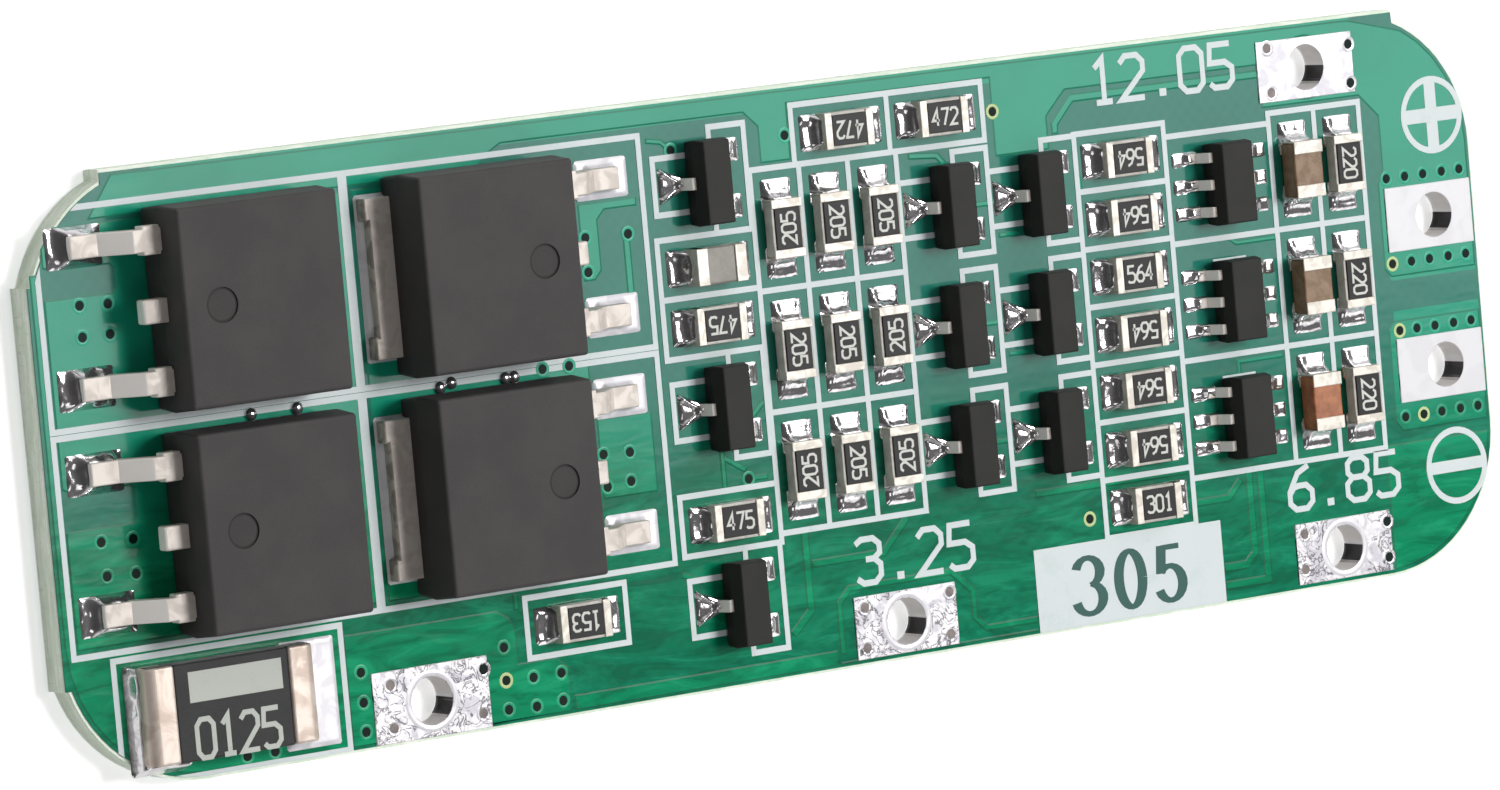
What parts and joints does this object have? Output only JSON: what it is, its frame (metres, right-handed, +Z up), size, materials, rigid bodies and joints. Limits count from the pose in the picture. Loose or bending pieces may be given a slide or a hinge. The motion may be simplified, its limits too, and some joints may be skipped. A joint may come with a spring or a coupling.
{
  "type": "battery management board",
  "caption": "Flat green battery management board with power transistors, a folded shunt, repeated cell channels and plated wire holes",
  "frame": {"origin": "centre of the board's underside, the face that it lies on", "axes": "+X along the board from the power transistors to the output terminals, +Y across it towards the edge without cell taps in its middle, +Z up through the components"},
  "size_m": [0.059, 0.02, 0.0034],
  "materials": {
    "laminate": "cut glass-fibre laminate, with green mask on the underside",
    "solder_mask": "glossy green solder mask",
    "mask_over_copper": "glossy green mask over copper",
    "white_print": "printed ink",
    "tinned_copper": "matte tin plate",
    "solder": "bright reflowed solder",
    "black_mould": "moulded epoxy, slightly textured",
    "shunt_coat": "dull epoxy coat",
    "resistor_glaze": "black glaze over pale ceramic",
    "brown_ceramic": "fired ceramic",
    "grey_ceramic": "fired ceramic"
  },
  "bodies": {
    "root": {"circuit_board": "laminate", "copper_tracks": "mask_over_copper", "solder_mask": "solder_mask", "legend": "white_print", "cell_terminals": "tinned_copper", "charge_load_terminals": "tinned_copper", "solder_joints": "solder", "fet_drain_tabs": "tinned_copper", "fet_leads": "tinned_copper", "charge_fet_upper": "black_mould", "charge_fet_lower": "black_mould", "discharge_fet_upper": "black_mould", "discharge_fet_lower": "black_mould", "shunt_terminals": "tinned_copper", "shunt_body": "shunt_coat", "transistor_leads": "tinned_copper", "monitor_ic_leads": "tinned_copper", "driver_transistor_upper": "black_mould", "driver_transistor_middle": "black_mould", "driver_transistor_lower": "black_mould", "cell_3_switch_transistor": "black_mould", "cell_3_sense_transistor": "black_mould", "cell_3_monitor_ic": "black_mould", "cell_2_switch_transistor": "black_mould", "cell_2_sense_transistor": "black_mould", "cell_2_monitor_ic": "black_mould", "cell_1_switch_transistor": "black_mould", "cell_1_sense_transistor": "black_mould", "cell_1_monitor_ic": "black_mould", "bias_resistor_left": "resistor_glaze", "bias_resistor_right": "resistor_glaze", "hold_resistor_upper": "resistor_glaze", "hold_resistor_lower": "resistor_glaze", "restart_resistor": "resistor_glaze", "output_resistor": "resistor_glaze", "cell_3_bleed_resistor_1": "resistor_glaze", "cell_3_bleed_resistor_2": "resistor_glaze", "cell_3_bleed_resistor_3": "resistor_glaze", "cell_3_gate_resistor_upper": "resistor_glaze", "cell_3_gate_resistor_lower": "resistor_glaze", "cell_3_filter_resistor": "resistor_glaze", "cell_3_filter_capacitor": "brown_ceramic", "cell_2_bleed_resistor_1": "resistor_glaze", "cell_2_bleed_resistor_2": "resistor_glaze", "cell_2_bleed_resistor_3": "resistor_glaze", "cell_2_gate_resistor_upper": "resistor_glaze", "cell_2_gate_resistor_lower": "resistor_glaze", "cell_2_filter_resistor": "resistor_glaze", "cell_2_filter_capacitor": "brown_ceramic", "cell_1_bleed_resistor_1": "resistor_glaze", "cell_1_bleed_resistor_2": "resistor_glaze", "cell_1_bleed_resistor_3": "resistor_glaze", "cell_1_gate_resistor_upper": "resistor_glaze", "cell_1_gate_resistor_lower": "resistor_glaze", "cell_1_filter_resistor": "resistor_glaze", "cell_1_filter_capacitor": "brown_ceramic", "gate_capacitor": "grey_ceramic", "chip_end_caps": "tinned_copper"}
  },
  "joints": []
}
